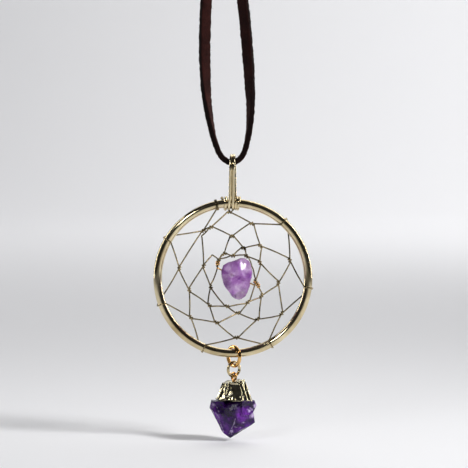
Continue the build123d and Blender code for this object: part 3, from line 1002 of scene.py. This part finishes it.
def cornerReach(angle, up):
    # straight between the corners, so the metal has flat facets
    count = len(capCorners)
    for k in range(count):
        a0, t0, f0 = capCorners[k]
        a1, t1, f1 = capCorners[(k + 1) % count]
        span = (a1 - a0) % 360
        past = (angle - a0) % 360
        if past <= span:
            r0, r1 = mixIn(f0, t0, up), mixIn(f1, t1, up)
            p0 = Vector((r0 * cos(radians(a0)), r0 * sin(radians(a0))))
            p1 = Vector((r1 * cos(radians(a1)), r1 * sin(radians(a1))))
            return outlineReach([tuple(p0), tuple(p1), (0.0, 0.0)], Vector((0, 0)), radians(angle))
    return 3.0


def makeCap(look):
    mesh = bpy.data.meshes.new("crinkledCap")
    vertices, faces = [], []
    rows = look["up"]
    middle = (0.25, -0.24)

    def ringRow(up, inset, raised):
        for k in range(look["around"]):
            angle = 360 * k / look["around"]
            reach = cornerReach(angle, up) - inset
            crinkle = noise.noise(Vector((cos(radians(angle)) * 3.1, sin(radians(angle)) * 3.1, up * 3.5)))
            fine = noise.noise(Vector((cos(radians(angle)) * 8, sin(radians(angle)) * 8, up * 8 + 5)))
            if raised:
                reach += look["ridge"] * creaseHeight(angle, up) - 0.10 + 0.12 * crinkle + 0.02 * fine
                lip = max(0.0, 1 - up / 0.045)
                reach += 0.24 * lip ** 0.5
            low = look["foot"] - 0.35 * cos(radians(angle)) - 0.1
            low += (0.30 * crinkle + 0.34 * fine) * (1 - up) ** 6
            high = look["top"] + 0.55 * cos(radians(angle + 20)) + 0.45 * fine * up ** 6
            z = mixIn(low, high, up)
            vertices.append(onFace(middle[0] + reach * cos(radians(angle)), z,
                                   middle[1] + reach * sin(radians(angle))))

    for row in range(rows + 1):
        ringRow(row / rows, 0.0, True)
    for shrink in (0.16, 0.35, 0.6, 0.85):
        for k in range(look["around"]):
            angle = 360 * k / look["around"]
            reach = cornerReach(angle, 1.0) * (1 - shrink)
            bump = noise.noise(Vector((reach * cos(radians(angle)), reach * sin(radians(angle)), 7))) * 0.25
            rim = look["top"] + 0.42 * cos(radians(angle - 30)) * (1 - shrink)
            vertices.append(onFace(middle[0] + reach * cos(radians(angle)), rim + 0.12 - 0.2 * shrink + bump,
                                   middle[1] + reach * sin(radians(angle))))
    outer = rows + 5
    for row in range(9):
        ringRow(row / 9 * 0.93, look["wall"], False)
    count = look["around"]

    def bridge(rowA, rowB):
        for k in range(count):
            a, b = rowA * count + k, rowA * count + (k + 1) % count
            c, d = rowB * count + (k + 1) % count, rowB * count + k
            faces.append((a, b, c, d))

    for row in range(outer - 1):
        bridge(row, row + 1)
    bridge(outer, 0)
    for row in range(outer, outer + 8):
        bridge(row + 1, row)
    vertices.append(onFace(middle[0], look["top"], middle[1]))
    vertices.append(onFace(middle[0], look["top"] - 0.5, middle[1]))
    for k in range(count):
        faces.append(((outer - 1) * count + k, (outer - 1) * count + (k + 1) % count, len(vertices) - 2))
        faces.append(((outer + 8) * count + (k + 1) % count, (outer + 8) * count + k, len(vertices) - 1))
    mesh.from_pydata(vertices, [], faces)
    finishMesh(mesh)
    piece = plainObject("crinkledCap", mesh)
    giveMaterial(piece, capGold)
    return piece


capPiece = makeCap(capLook)
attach(capPiece, "charm")
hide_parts("crystal_cap")
print("cap made")

# ---- crystal: intergrown raw points, each cut by planes (direction right, up, back; distance in mm)
crystalLook = {"voxel": 0.13, "rough": 0.05, "stripes": 0.02}
crystalPoints = [
    {"middle": (0.0, -34.5, 0.0), "cuts": [
        ((-0.89, -0.454, 0.0), 5.84), ((-0.80, -0.42, -0.45), 5.3), ((0.50, -0.80, -0.40), 6.85),
        ((0.533, -0.846, 0.0), 7.17), ((-0.25, -0.45, -0.86), 4.55), ((0.55, -0.25, -0.80), 4.65),
        ((-0.45, -0.50, 0.78), 4.9), ((0.45, -0.55, 0.75), 5.4), ((-0.986, 0.164, 0.0), 6.0),
        ((0.985, 0.17, 0.0), 5.11), ((0.0, 0.3, -0.95), 4.6), ((0.1, 0.3, 0.95), 4.7),
        ((-0.58, -0.81, 0.0), 7.6),
        ((-0.72, 0.30, -0.62), 4.75), ((0.78, 0.35, -0.52), 5.0), ((-0.7, 0.3, 0.65), 5.1),
        ((0.75, 0.3, 0.6), 5.2), ((0.0, 1.0, 0.0), 1.9), ((-0.3, 0.9, -0.3), 2.0)]},
    {"middle": (4.2, -34.6, -1.2), "cuts": [
        ((0.894, 0.447, 0.0), 2.1), ((0.903, -0.43, 0.0), 1.85), ((0.5, -0.25, -0.83), 2.1),
        ((-0.95, 0.0, -0.2), 2.5), ((0.1, 1.0, 0.0), 1.7), ((0.2, 0.1, 0.97), 2.2),
        ((0.0, -1.0, 0.0), 2.2), ((0.65, 0.1, 0.75), 2.0)]},
    {"middle": (-3.9, -34.6, -1.5), "cuts": [
        ((-0.98, 0.20, -0.05), 2.2), ((-0.8, -0.58, -0.15), 2.1), ((-0.45, 0.1, -0.89), 2.2),
        ((0.95, 0.0, -0.2), 2.0), ((0.0, 1.0, 0.0), 1.6), ((0.0, 0.1, 0.97), 2.2),
        ((-0.1, -1.0, -0.1), 2.0)]},
    {"middle": (2.0, -35.5, 2.6), "cuts": [
        ((0.5, 0.1, 0.86), 2.2), ((-0.6, -0.1, 0.8), 2.1), ((0.2, -0.9, 0.4), 2.0),
        ((0.0, 1.0, 0.0), 2.2), ((0.0, 0.0, -1.0), 2.4), ((0.95, 0.0, 0.2), 2.4), ((-0.95, 0.0, 0.2), 2.4)]},
]
# small flats knocked off it: place, direction faced, depth and reach in mm
crystalChips = [
    ((-5.2, -34.3, -2.0), (-0.6, 0.2, -0.77), 0.25, 1.5), ((-4.4, -36.6, -2.6), (-0.75, -0.5, -0.4), 0.3, 1.4),
    ((5.6, -33.6, -1.6), (0.55, 0.35, -0.75), 0.3, 1.3), ((5.6, -36.2, -1.0), (0.8, 0.1, -0.6), 0.5, 1.1),
    ((4.6, -38.2, -2.2), (0.5, -0.3, -0.8), 0.3, 1.6), ((2.4, -39.4, -3.0), (0.3, -0.5, -0.8), 0.25, 1.5),
    ((-1.6, -40.6, -1.8), (-0.4, -0.5, -0.77), 0.25, 1.2), ((1.4, -36.9, -4.4), (0.25, -0.2, -0.95), 0.2, 1.6),
    ((3.8, -35.2, -4.0), (0.5, 0.0, -0.86), 0.3, 1.7), ((-2.6, -38.4, -3.6), (-0.6, -0.35, -0.72), 0.2, 1.5),
    ((-3.0, -36.0, 4.0), (-0.5, -0.2, 0.84), 0.4, 2.0), ((2.6, -38.6, 3.2), (0.4, -0.4, 0.82), 0.4, 2.0),
    ((0.4, -36.0, 4.6), (0.0, 0.2, 0.98), 0.4, 1.8), ((5.0, -36.8, 2.0), (0.8, 0.0, 0.6), 0.4, 1.6),
    ((0.9, -41.4, -0.8), (0.5, -0.6, -0.6), 0.2, 1.0), ((-0.2, -34.2, -4.6), (-0.2, 0.3, -0.93), 0.2, 1.6),
]


def planeLump(point):
    # a block cut back by its planes to one raw point
    lump = bmesh.new()
    x, z, y = point["middle"]
    bmesh.ops.create_cube(lump, size=24 * mm, matrix=Matrix.Translation(onFace(x, z, y)))
    for (fx, fz, fy), far in point["cuts"]:
        facing = Vector((fx, fy, fz)).normalized()
        everything = lump.verts[:] + lump.edges[:] + lump.faces[:]
        cut = bmesh.ops.bisect_plane(lump, geom=everything, plane_co=onFace(x, z, y) + facing * far * mm,
                                     plane_no=facing, clear_outer=True)
        rim = [each for each in cut["geom_cut"] if isinstance(each, bmesh.types.BMEdge)]
        if rim:
            bmesh.ops.contextual_create(lump, geom=rim)
    mesh = bpy.data.meshes.new("lump")
    lump.to_mesh(mesh)
    lump.free()
    return plainObject("lump", mesh)


def makeCrystal(look):
    lumps = [planeLump(point) for point in crystalPoints]
    joined = lumps[0]
    joined.name = "rawCrystal"
    for other in lumps[1:]:
        modifier = joined.modifiers.new("join", "BOOLEAN")
        modifier.operation = "UNION"
        modifier.solver = "EXACT"
        modifier.object = other
    remesh = joined.modifiers.new("dense", "REMESH")
    remesh.mode = "VOXEL"
    remesh.voxel_size = look["voxel"] * mm
    graph = bpy.context.evaluated_depsgraph_get()
    mesh = bpy.data.meshes.new_from_object(joined.evaluated_get(graph), depsgraph=graph)
    joined.modifiers.clear()
    joined.data = mesh
    for other in lumps[1:]:
        bpy.data.objects.remove(other)
    normals = [vertex.normal.copy() for vertex in mesh.vertices]
    for vertex, normal in zip(mesh.vertices, normals):
        spot = (vertex.co - hoopMiddle) / mm
        for (x, z, y), (fx, fz, fy), depth, reach in crystalChips:
            centre = Vector((x, y, z))
            facing = Vector((fx, fy, fz)).normalized()
            away = (spot - centre).length
            over = (spot - centre).dot(facing) + depth
            if away < reach and over > 0:
                fade = min(1.0, (reach - away) / (reach * 0.3))
                spot -= facing * over * fade * 0.9
        stripe = noise.noise(Vector((spot.x * 0.6, spot.y * 0.6, spot.z * 5.0)))
        rough = noise.noise(spot * 1.1) * 1.6 + noise.noise(spot * 4.0) * 0.5
        spot += normal * (look["rough"] * rough + look["stripes"] * stripe)
        vertex.co = hoopMiddle + spot * mm
    return joined


# lighter and whiter places in the crystal, painted where light shines through it: painted light (place, reach
# and strength)
crystalLitPlaces = [
    ((3.0, -36.8, -4.0), (3.4, 3.2, 4.0), 1.0), ((-4.4, -37.4, -2.0), (1.6, 3.4, 3.0), 1.0),
    ((-5.4, -34.8, -2.0), (1.6, 1.6, 2.6), 0.9), ((1.2, -40.8, -2.0), (2.4, 1.6, 3.0), 0.6),
    ((-3.0, -36.0, 4.0), (4.0, 3.5, 3.5), 0.9), ((4.0, -37.0, 3.0), (3.0, 3.5, 3.5), 0.7),
]
# darker places on the crystal, mostly across its upper middle just below the cap: painted shade (place, reach
# and strength)
crystalShadedPlaces = [
    ((-1.6, -35.2, -4.4), (3.2, 4.2, 3.6), 1.0), ((-0.5, -37.6, -4.4), (1.8, 3.4, 3.0), 0.8),
    ((1.6, -33.6, -4.4), (2.2, 1.4, 3.0), 0.9), ((4.8, -38.6, -2.0), (2.0, 1.3, 3.0), 0.6),
    ((1.0, -35.0, 4.6), (3.0, 3.6, 3.0), 0.8), ((-4.0, -36.0, 2.6), (2.0, 2.6, 2.6), 0.7),
]
# whiter spots on the crystal's chipped corners and edges: painted glints (place, reach and strength)
crystalGlints = [
    ((5.9, -34.3, -1.6), (1.2, 1.1, 2.2), 1.0), ((5.2, -37.0, -1.6), (1.0, 1.3, 2.0), 0.6),
    ((-5.5, -34.2, -1.8), (1.1, 1.1, 2.0), 0.7), ((4.6, -35.4, -3.2), (1.1, 0.9, 1.6), 0.55),
    ((0.4, -38.8, -3.9), (0.35, 1.1, 1.6), 0.7), ((-0.3, -41.4, -1.4), (0.5, 1.3, 1.8), 0.7),
    ((-3.6, -35.6, -3.6), (0.8, 0.6, 1.2), 0.35), ((3.4, -38.9, -3.0), (1.5, 0.4, 1.4), 0.4),
    ((3.0, -35.0, 4.4), (1.6, 1.0, 1.4), 0.5), ((-2.0, -39.0, 3.0), (0.6, 1.6, 1.6), 0.5),
]


crystalPiece = makeCrystal(crystalLook)
finishMesh(crystalPiece.data, smooth=False)
# painted light: brighter purple where light shines through the crystal
paintPlaces(crystalPiece.data, "glow", crystalLitPlaces)
# painted glints and highlights on the crystal, in its white mask
paintPlaces(crystalPiece.data, "whiteCloudsAndGlints", crystalGlints, crystalGlintLines, 1.1)
# painted shade on the crystal, in its dark mask
paintPlaces(crystalPiece.data, "dark", crystalShadedPlaces)
giveMaterial(crystalPiece, violet)
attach(crystalPiece, "charm")
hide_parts("crystal")
print("crystal made", len(crystalPiece.data.polygons))


# ---- knot: the doubled lace is wrapped round itself, with a band drawn across and two cut tails
knotLook = {"wide": 3.0, "thick": 1.4, "reach": 3.05, "turns": 2.05, "low": 1.9, "rise": 2.85}


def bandPath(angleStart, angleEnd, zStart, zEnd, reach, steps):
    points, normals = [], []
    for step in range(steps + 1):
        share = step / steps
        angle = radians(mixIn(angleStart, angleEnd, share))
        tuck = 0.75 + 0.25 * min(1.0, 7 * share, 7 * (1 - share))
        out = Vector((cos(angle), sin(angle) * 0.86, 0))
        points.append(Vector((0, 0, mixIn(zStart, zEnd, share))) * mm + out * reach * tuck * mm)
        normals.append(Vector((cos(angle), sin(angle), 0)))
    return points, normals


def bentStrip(corners, steps):
    # a soft path through a few corners
    points = []
    for k in range(len(corners) - 1):
        p0, p1 = corners[max(k - 1, 0)], corners[k]
        p2, p3 = corners[k + 1], corners[min(k + 2, len(corners) - 1)]
        for step in range(steps):
            t = step / steps
            spot = [0.5 * (2 * b + (c - a) * t + (2 * a - 5 * b + 4 * c - d) * t * t
                           + (3 * b - a - 3 * c + d) * t * t * t) for a, b, c, d in zip(p0, p1, p2, p3)]
            points.append(Vector(spot) * mm)
    points.append(Vector(corners[-1]) * mm)
    return points


def makeKnot(look):
    strips = []
    wrap, wrapOut = bandPath(100, 100 + 360 * look["turns"], look["low"], look["low"] + look["rise"] * 2.0,
                             look["reach"], 150)
    strips.append((wrap, lambda k: Vector((0, 0, 1)) + wrapOut[k] * 0.06))
    band = bandPath(-150, -22, 1.6, 8.3, look["reach"] + 0.95, 60)[0]
    strips.append((band, lambda k: Vector((0.45, 0, 1))))
    for side in (-1, 1):
        foot = bentStrip([(side * 0.95, 0, 0.1), (side * 0.85, 0, 2.0), (side * 0.8, 0, 4.5)], 10)
        strips.append((foot, lambda k: Vector((0, 1, 0))))
        tail = bentStrip([(side * 0.9, 0, 6.4), (side * 1.1, 0, 8.6), (side * 2.2, side * 0.3, 12.5),
                          (side * 3.3, side * 0.6, 16.0), (side * 4.2, side * 0.5, 19.6)], 14)
        strips.append((tail, lambda k, side=side: Vector((0.25 * side, 1, 0.0))))
    joined = bmesh.new()
    for k, (line, widthAt) in enumerate(strips):
        joined.from_mesh(ribbonMesh("knotStrip", line, widthAt, look["wide"], look["thick"], 0.08, 11 + k))
    whole = bpy.data.meshes.new("laceKnot")
    joined.to_mesh(whole)
    joined.free()
    finishMesh(whole)
    piece = plainObject("laceKnot", whole)
    giveMaterial(piece, suede)
    addFibres(piece, fibreLook)
    return piece


knotPiece = makeKnot(knotLook)
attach(knotPiece, "lace")
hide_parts("lace_knot")
print("knot made")

# ---- stage and lights
stageLook = {"drop": 1.0, "wall": 1.9, "shade": (0.82, 0.82, 0.835)}   # drop in mm below the crystal
# each light: place from the hoop's middle in m, what it looks at, its size, how bright its face is,
# and how wide it spreads in degrees
lightLook = {
    "leftBox": ((-0.58, 0.22, 0.16), (0, 0.05, 0), (0.06, 0.85), 4.2, 100),
    "rightBox": ((0.58, 0.20, 0.18), (0, 0.05, 0), (0.06, 0.85), 5.5, 100),
    "topBox": ((0.15, 0.80, 0.95), (0.05, 0.70, 0), (1.6, 0.9), 1.45, 180),
    "key": ((0.56, -0.34, 0.40), (0, 0, -0.01), (0.17, 0.17), 8.6, 60),
    "wallLight": ((0.9, 1.0, 1.0), (0.6, 1.85, 0.3), (1.2, 0.4), 9.5, 180),
    "sparkle": ((-0.30, -0.55, 0.34), (0, 0, -0.01), (0.13, 0.13), 1.6, 60),
}


def makeStage(look):
    floorZ = cadBounds[0][2] - look["drop"] * mm
    mesh = bpy.data.meshes.new("stage")
    profile = [(-3.0, 0.0), (0.0, 0.0), (look["wall"] - 0.6, 0.0)]
    for step in range(1, 15):
        turn = pi / 2 * step / 14
        profile.append((look["wall"] - 0.6 + 0.6 * sin(turn), 0.6 - 0.6 * cos(turn)))
    profile.append((look["wall"], 2.6))
    vertices = [(x, y, floorZ + z) for y, z in profile for x in (-3.5, 3.5)]
    faces = [(2 * k, 2 * k + 1, 2 * k + 3, 2 * k + 2) for k in range(len(profile) - 1)]
    mesh.from_pydata(vertices, [], faces)
    for polygon in mesh.polygons:
        polygon.use_smooth = True
    piece = plainObject("stageFloor", mesh)
    material, shader = newMaterial("stage paper")
    setSockets(shader, {"Base Color": (*look["shade"], 1), "Roughness": 0.8, "Specular IOR Level": 0.2})
    giveMaterial(piece, material)


def makeLights(look):
    middle = onFace(0, 0)
    world = bpy.data.worlds.new("studio")
    bpy.context.scene.world = world
    world.use_nodes = True
    world.node_tree.nodes["Background"].inputs[0].default_value = (0.9, 0.92, 1.0, 1)
    world.node_tree.nodes["Background"].inputs[1].default_value = 0.035
    for name, (where, aim, size, bright, spread) in look.items():
        data = bpy.data.lights.new(name, "AREA")
        data.shape = "RECTANGLE"
        data.size, data.size_y = size
        data.energy = bright * pi * size[0] * size[1]
        data.spread = radians(spread)
        light = plainObject(name, data)
        light.location = middle + Vector(where)
        light.rotation_euler = (Vector(aim) - Vector(where)).to_track_quat("-Z", "Y").to_euler()
        light.visible_camera = False
        light.visible_glossy = name != "key"
        light.visible_diffuse = name not in ("leftBox", "rightBox")


makeStage(stageLook)
makeLights(lightLook)
scene = bpy.context.scene
scene.view_settings.view_transform = "Standard"

for slot in frame["nodes"]["cap_eye"].material_slots:
    slot.material = ringGold
print("materials on the frame's own pieces")
